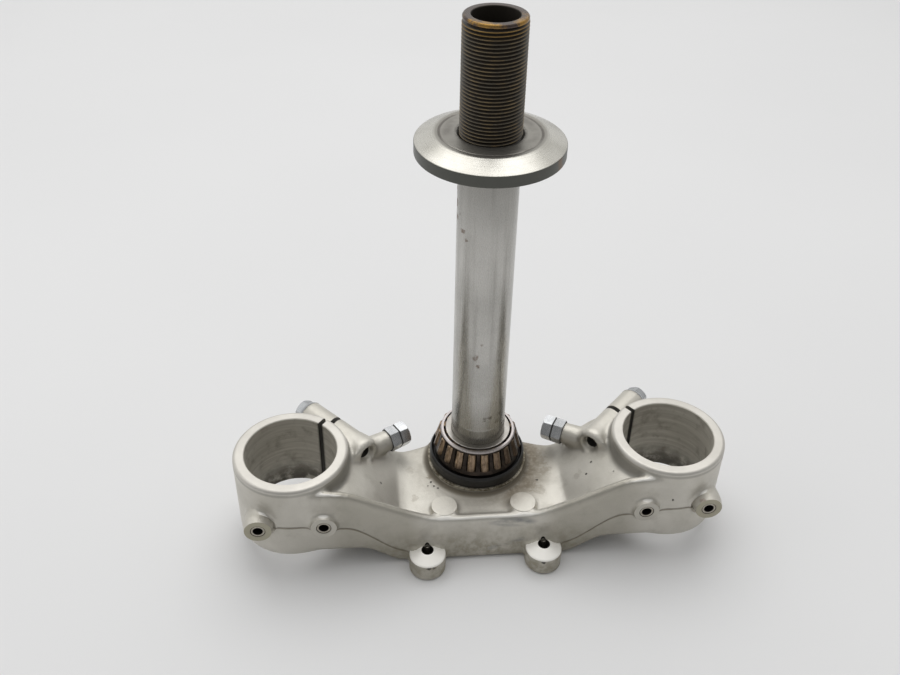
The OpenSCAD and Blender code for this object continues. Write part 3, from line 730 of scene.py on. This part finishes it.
# %% Stem and thread
def helix(low, high, root, crest, pitch, steps=96):
    """A climbing V ridge between two heights, its ends closed by the first and last outline."""
    bm = bmesh.new()
    half = pitch / 2
    outline = [(root - 0.5, -half * 0.99), (root, -half * 0.99), (crest, -0.07), (crest, 0.07),
               (root, half * 0.99), (root - 0.5, half * 0.99)]
    face = bm.faces.new([bm.verts.new((r * MM, 0, (low + half + z) * MM)) for r, z in outline])
    turns = (high - low) / pitch - 1
    count = round(steps * turns)
    bmesh.ops.spin(bm, geom=[face], cent=(0, 0, 0), axis=(0, 0, 1), angle=math.tau * turns,
                   dvec=(0, 0, turns * pitch * MM / count), steps=count)
    bmesh.ops.recalc_face_normals(bm, faces=bm.faces)
    return bm


THREAD_DEPTH = 0.85
core_r = THREAD_R - THREAD_DEPTH
stem_outline = [(STEM_BORE_R, 0), (STEM_SEAT_R, 0), (STEM_SEAT_R, 52.55), (STEM_R, 52.9), (STEM_R, 191.2),
                (core_r, 191.9), (core_r, 248.9), (THREAD_R - 0.15, 249.3), (THREAD_R - 0.15, STEM_L - 0.6),
                (THREAD_R - 0.7, STEM_L), (STEM_BORE_R + 0.3, STEM_L), (STEM_BORE_R, STEM_L - 0.3)]
piece("stem_tube", turned(stem_outline, 0.35), "yoke", "stem_steel", ["steering_stem"], stem_steel)
thread_mesh = helix(THREAD_LOW, THREAD_TOP, core_r - 0.05, THREAD_R, PITCH)
piece("stem_thread", thread_mesh, "yoke", "stem_steel", [], thread_steel)

# %% [markdown]
# ## The adjuster collar
# A turned disc whose cone is polished and whose rim is duller. Its outline is
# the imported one, with the corners eased.

# %% Collar
def paint_collar(place):
    x, _, z = split(place)
    r = from_stem(place)
    fine = speckle(place, 0.8, 3, 0.6)
    cloud = speckle(place, 14, 3, 0.55)
    ring = node(place.tree, "ShaderNodeTexNoise", {"noise_dimensions": "1D"},
                {"W": r, "Scale": 3.0, "Detail": 3.0})
    tone = blend(cloud.ease(0.3, 0.7), (0.49, 0.475, 0.43), (0.60, 0.585, 0.54))
    tone = blend(ring.ease(0.45, 0.7) * 0.25, tone, (0.36, 0.35, 0.32))
    rim = r.ease(30.2, 30.7) * z.ease(199.6, 199.2)
    tone = blend(rim, tone, (0.095, 0.097, 0.086))
    tone = blend(rim * cloud.ease(0.5, 0.65) * x.ease(5, 20), tone, (0.15, 0.10, 0.06))
    flat = r.ease(23.8, 22.0)
    tone = blend(flat * (cloud * 0.3 + 0.7), tone, (0.21, 0.20, 0.18))
    # Painted shade: the shallow groove and a soft band across the top flat are painted dark.
    groove = abs(r - 20.8).ease(0.9, 0.2) * (cloud.ease(0.40, 0.55) * 0.7 + 0.3)
    shade_band = abs(r - 17.5).ease(3.2, 0.5) * cloud.ease(0.42, 0.62)
    tone = blend((groove * 0.75).either(shade_band * 0.45), tone, (0.09, 0.08, 0.07))
    oil = r.ease(15.2, 13.6) * z.ease(201.0, 202.4)
    tone = blend(oil * 0.7 * fine.ease(0.3, 0.55), tone, (0.04, 0.035, 0.03))
    return {"Base Color": tone, "Roughness": fine * 0.1 + 0.23 + flat * 0.17 + rim * 0.1,
            "Metallic": 0.92 - rim * 0.3, "relief": (ring * 0.6 + fine * 0.4, 0.03)}


collar_steel = finish("turned_collar", paint_collar)
COLLAR_Z, COLLAR_R, COLLAR_TOP = 194.35, 30.9, 202.95
CONE_FOOT = 199.35
collar_outline = [(12.35, 193.35), (17.5, 193.35), (17.5, CONE_FOOT), (23, CONE_FOOT), (28.3, 195.95),
                  (28.3, COLLAR_Z), (COLLAR_R, COLLAR_Z), (COLLAR_R, CONE_FOOT), (23, COLLAR_TOP),
                  (21.2, COLLAR_TOP), (20.8, 202.7), (20.4, COLLAR_TOP), (13.65, COLLAR_TOP),
                  (12.35, 201.75)]
collar_mesh = turned(collar_outline, 0.35, 200)
piece("collar", collar_mesh, "yoke", "collar_steel", ["adjuster_collar"], collar_steel)

# %% [markdown]
# ## The lower bearing
# A pale ground race, a thin pressed cage with a dark gap above it, bronze-brown
# oily rollers with painted shade on one side, a black rubber seal and a thin greasy washer.

# %% Bearing finishes
def paint_race(place):
    fine = speckle(place, 0.7, 3, 0.6)
    cloud = speckle(place, 9, 3, 0.55)
    tone = blend(cloud.ease(0.35, 0.7), (0.36, 0.34, 0.315), (0.47, 0.447, 0.42))
    return {"Base Color": tone, "Roughness": fine * 0.15 + 0.22, "Metallic": 0.95, "relief": (fine, 0.015)}


def paint_cage(place):
    fine = speckle(place, 0.9, 3, 0.6)
    cloud = speckle(place, 5, 3, 0.6)
    z = split(place)[2]
    tone = blend(cloud.ease(0.35, 0.7), (0.018, 0.014, 0.012), (0.05, 0.038, 0.03))
    lip = z.ease(42.7, 43.2) * (0.75 + fine * 0.4)
    tone = blend(lip, tone, (0.50, 0.46, 0.45))
    return {"Base Color": tone, "Roughness": fine * 0.15 + 0.22, "Metallic": 0.85, "relief": (fine, 0.02)}


def paint_roller(place):
    fine = speckle(place, 1.2, 3, 0.6)
    cloud = speckle(place, 9, 3, 0.6, shift=5.0)
    streak = speckle(place, 0.9, 2, 0.6, stretch=(1, 1, 0.15))
    tone = blend(streak.ease(0.3, 0.7), (0.15, 0.105, 0.07), (0.37, 0.27, 0.185))
    x, _, z = split(place)
    # Oil darkens the rollers low down; the rollers on the +x side are painted near-black as shade.
    oil = z.ease(37.0, 33.2).either(x.ease(-4, 15) * 0.95) * (cloud.ease(0.25, 0.6) * 0.5 + 0.5)
    tone = blend(oil * 0.92, tone, (0.03, 0.02, 0.014))
    return {"Base Color": tone, "Roughness": fine * 0.12 + 0.16, "Metallic": 0.85, "relief": (fine, 0.01)}


def paint_rubber(place):
    fine = speckle(place, 1.1, 3, 0.6)
    tone = blend(fine.ease(0.3, 0.8), (0.006, 0.006, 0.006), (0.016, 0.014, 0.012))
    return {"Base Color": tone, "Roughness": fine * 0.2 + 0.30, "relief": (fine, 0.03)}


def paint_zinc(place):
    fine = speckle(place, 1.0, 3, 0.6)
    cloud = speckle(place, 5, 3, 0.6)
    tone = blend(cloud.ease(0.35, 0.7), (0.50, 0.51, 0.52), (0.64, 0.65, 0.66))
    x, y, z = split(place)
    # Painted shade: the seam between lock nut and screw head and the screw's foot at the boss are painted
    # near-black.
    out = (abs(x) - STOP[0]) * STOP_DIR.x + (y - STOP[1]) * STOP_DIR.y
    gap_shade = abs(out - NUT_H).ease(0.55, 0.3).either(out.ease(0.35, 0.15)) * abs(x).ease(52, 50)
    # Painted shade: the clamp screws, beyond 62 mm from the middle, are painted darker than the lock
    # screws.
    tone = blend(abs(x).ease(60, 62) * 0.55, tone, (0.30, 0.31, 0.32))
    tone = blend(gap_shade * 0.93, tone, (0.025, 0.025, 0.022))
    return {"Base Color": tone, "Roughness": fine * 0.10 + 0.18 + gap_shade * 0.4, "Metallic": 0.96 - gap_shade * 0.6,
            "relief": (cloud, 0.01)}


def paint_washer(place):
    fine = speckle(place, 1.3, 3, 0.65)
    cloud = speckle(place, 7, 3, 0.6, shift=8.0)
    tone = blend((cloud * 0.6 + fine * 0.4).ease(0.42, 0.62), (0.11, 0.092, 0.06), (0.42, 0.385, 0.31))
    return {"Base Color": tone, "Roughness": fine * 0.2 + 0.36, "Metallic": 0.6, "relief": (fine, 0.03)}


def paint_insert(place):
    x, _, z = split(place)
    side = abs(abs(x) - (FRONT_X[0] + FRONT_X[1]) / 2) - (FRONT_X[1] - FRONT_X[0]) / 2
    hole = span(side, z - FRONT_Z)
    fine = speckle(place, 1.0, 3, 0.6)
    tone = blend(fine.ease(0.3, 0.7), (0.36, 0.33, 0.27), (0.52, 0.49, 0.43))
    tone = blend(abs(hole - 3.4).ease(0.42, 0.12), tone, (0.05, 0.038, 0.03))
    # Painted shade: the bottom of the sleeve's hole is painted near-black.
    tone = blend(hole.ease(2.42, 2.26), tone, (0.03, 0.025, 0.024))
    return {"Base Color": tone, "Roughness": fine * 0.2 + 0.32, "Metallic": 0.75, "relief": (fine, 0.03)}


race_steel, cage_steel = finish("ground_race", paint_race), finish("pressed_cage", paint_cage)
roller_steel, rubber = finish("oiled_roller", paint_roller), finish("greasy_rubber", paint_rubber)
zinc, insert_steel = finish("bright_zinc", paint_zinc), finish("dull_insert", paint_insert)
washer_steel = finish("greasy_washer", paint_washer)

# %% Bearing pieces
ROLLERS = 19
ROLLER_TILT, ROLLER_R, ROLLER_Z, ROLLER_L = 14.2, 18.2, 37.55, 9.2
ROLLER_PLAY = 0.1
TRACK = math.tan(math.radians(ROLLER_TILT - math.degrees(math.atan(0.3 / ROLLER_L))))
RIB_TOP, RIB_LOW = 42.46, 32.24
track_mid = ROLLER_R - (2.25 + ROLLER_PLAY) / math.cos(math.atan(TRACK))
track_low, track_top = (track_mid + (ROLLER_Z - z) * TRACK for z in (RIB_LOW, RIB_TOP))
race_outline = [(13, RACE_Z), (track_low + 2, RACE_Z), (track_low + 1.8, RIB_LOW), (track_low, RIB_LOW),
                (track_top, RIB_TOP), (15.8, RIB_TOP), (15.8, RACE_TOP), (13, RACE_TOP)]
race_mesh = turned(race_outline, 0.25)
piece("inner_race", race_mesh, "yoke", "bearing_steel", ["bearing_inner_race"], race_steel)

rollers_mesh = bmesh.new()
half = ROLLER_L / 2
for i in range(ROLLERS):
    one = turned([(0, -half), (2.4, -half), (2.1, half), (0, half)], 0.25, 32)
    lean = (Matrix.Rotation(math.tau * (i + 0.5) / ROLLERS, 4, "Z")
            @ Matrix.Translation((ROLLER_R * MM, 0, ROLLER_Z * MM))
            @ Matrix.Rotation(math.radians(-ROLLER_TILT), 4, "Y"))
    add(rollers_mesh, one, lean)
piece("rollers", rollers_mesh, "roller_set", "roller_steel", ["bearing_rollers"], roller_steel)

seal_outline = [(SEAL_BORE_R, WASHER_Z), (23.5, WASHER_Z), (23.5, 29.65), (23, 30.75), (22.5, 30.95),
                (22.1, 29.95), (21.6, 28.55), (SEAL_BORE_R, 28.55)]
piece("seal", turned(seal_outline, 0.3), "yoke", "rubber", ["dust_seal"], rubber)
washer_outline = [(SEAL_BORE_R, SEAT_Z), (WASHER_R, SEAT_Z), (WASHER_R, WASHER_Z), (SEAL_BORE_R, WASHER_Z)]
piece("washer", turned(washer_outline, 0.2), "yoke", "zinc_steel", ["seal_washer"], washer_steel)

# %% [markdown]
# ## Inserts and bolts
# The four sleeves in the front holes are turned. The bolts and nuts keep the
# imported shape: a copy of the skin is merged, its flat facets are joined, and a
# narrow bevel puts a line of light on each edge.

# %% Inserts and bolts
def dress(name, node_name, slot, material, width=0.25):
    """A packed bolt or nut with a narrow bevel on its sharp edges."""
    bm = cad_copy(node_name)
    bmesh.ops.dissolve_limit(bm, angle_limit=math.radians(1), verts=bm.verts, edges=bm.edges)
    edges = [e for e in bm.edges if len(e.link_faces) == 2 and e.calc_face_angle(0) > math.radians(28)]
    bmesh.ops.bevel(bm, geom=edges, offset=width * MM, offset_type="OFFSET", segments=2, profile=0.5,
                    affect="EDGES", clamp_overlap=True, material=-1)
    return piece(name, bm, "yoke", slot, [node_name], material)


sleeves = bmesh.new()
for x in FRONT_X:
    outline = [(0, SLEEVE_L - 1), (SLEEVE_BORE_R, SLEEVE_L - 1), (SLEEVE_BORE_R, 0.15),
               (SLEEVE_BORE_R + 0.15, 0), (SLEEVE_R, 0), (SLEEVE_R, SLEEVE_L), (0, SLEEVE_L)]
    add(sleeves, turned(outline, 0, 64), along((x, FRONT_Y + SLEEVE_SUNK, FRONT_Z), BACKWARD))
both_sides(sleeves)
piece("insert_rings", sleeves, "yoke", "insert_steel", ["thread_inserts"], insert_steel)
for side in ("left", "right"):
    dress("clamp_screw_" + side, "pinch_bolt_" + side, "zinc_steel", zinc)
    dress("lock_screw_" + side, "stop_bolt_" + side, "zinc_steel", zinc)
    dress("lock_nut_" + side, "stop_locknut_" + side, "zinc_steel", zinc)
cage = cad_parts["bearing_cage"]
for slot in cage.material_slots:
    slot.material = cage_steel

# %% [markdown]
# ## Floor, light and camera
# A pale floor, a wide soft lamp overhead, a weak one from the left and a grey
# world that is brighter behind the part and above it. The camera's place and
# lens were fitted to the round edges that can be seen in the picture.

# %% Floor and light
def paint_floor(place):
    cloud = speckle(place, 300, 3, 0.5)
    return {"Base Color": blend(cloud, (0.74, 0.74, 0.745), (0.79, 0.79, 0.795)), "Roughness": 0.75}


floor_mesh = bmesh.new()
bmesh.ops.create_grid(floor_mesh, x_segments=1, y_segments=1, size=6)
floor = to_object("floor", floor_mesh, finish("pale_floor", paint_floor))

world = bpy.data.worlds.new("studio")
world.use_nodes = True
sky = world.node_tree
sky.nodes.clear()
toward = split(node(sky, "ShaderNodeTexCoord"))
height = toward[1] * 0.70 + toward[2] * 0.65 - toward[0] * 0.08
room = height.ease(-0.45, 0.90) * 0.64 + 0.24
glow = node(sky, "ShaderNodeBackground", {}, {"Color": (0.95, 0.95, 0.94, 1), "Strength": room})
world_out = sky.nodes.new("ShaderNodeOutputWorld")
sky.links.new(glow.socket, world_out.inputs["Surface"])
bpy.context.scene.world = world


def lamp(name, place, target, size, power):
    light = bpy.data.lights.new(name, "AREA")
    light.shape, light.size, light.energy = "DISK", size, power
    made = bpy.data.objects.new(name, light)
    made.location = place
    made.rotation_euler = (Vector(target) - Vector(place)).to_track_quat("-Z", "Y").to_euler()
    bpy.context.scene.collection.objects.link(made)


lamp("overhead", (0.0, 0.50, 1.40), (0, 0, 0.05), 1.6, 9)
lamp("window", (-1.2, 0.1, 0.8), (0, 0, 0.08), 1.0, 1.2)

# %% Camera
EYE = Vector((-47.32, -349.70, 373.14)) * MM
YAW, PITCH_DOWN, ROLL = math.radians(5.286), math.radians(35.655), math.radians(-1.1567)
SENSOR, FOCAL_PX, SHIFT_PX, WIDTH_PX = 36, 970.38, -37.5, 900
forward = Vector((math.sin(YAW) * math.cos(PITCH_DOWN), math.cos(YAW) * math.cos(PITCH_DOWN),
                  -math.sin(PITCH_DOWN)))
level = Vector((math.cos(YAW), -math.sin(YAW), 0))
down = forward.cross(level)
right = level * math.cos(ROLL) + down * math.sin(ROLL)
below = down * math.cos(ROLL) - level * math.sin(ROLL)
camera = bpy.data.objects.new("camera", bpy.data.cameras.new("camera"))
camera.data.sensor_width, camera.data.lens = SENSOR, SENSOR * FOCAL_PX / WIDTH_PX
camera.data.shift_y = SHIFT_PX / WIDTH_PX
camera.data.clip_start = 0.01
turn = Matrix((right, -below, -forward)).transposed().to_4x4()
camera.matrix_world = Matrix.Translation(EYE) @ turn
bpy.context.scene.collection.objects.link(camera)
bpy.context.scene.camera = camera
bpy.context.scene.view_settings.view_transform = "Standard"
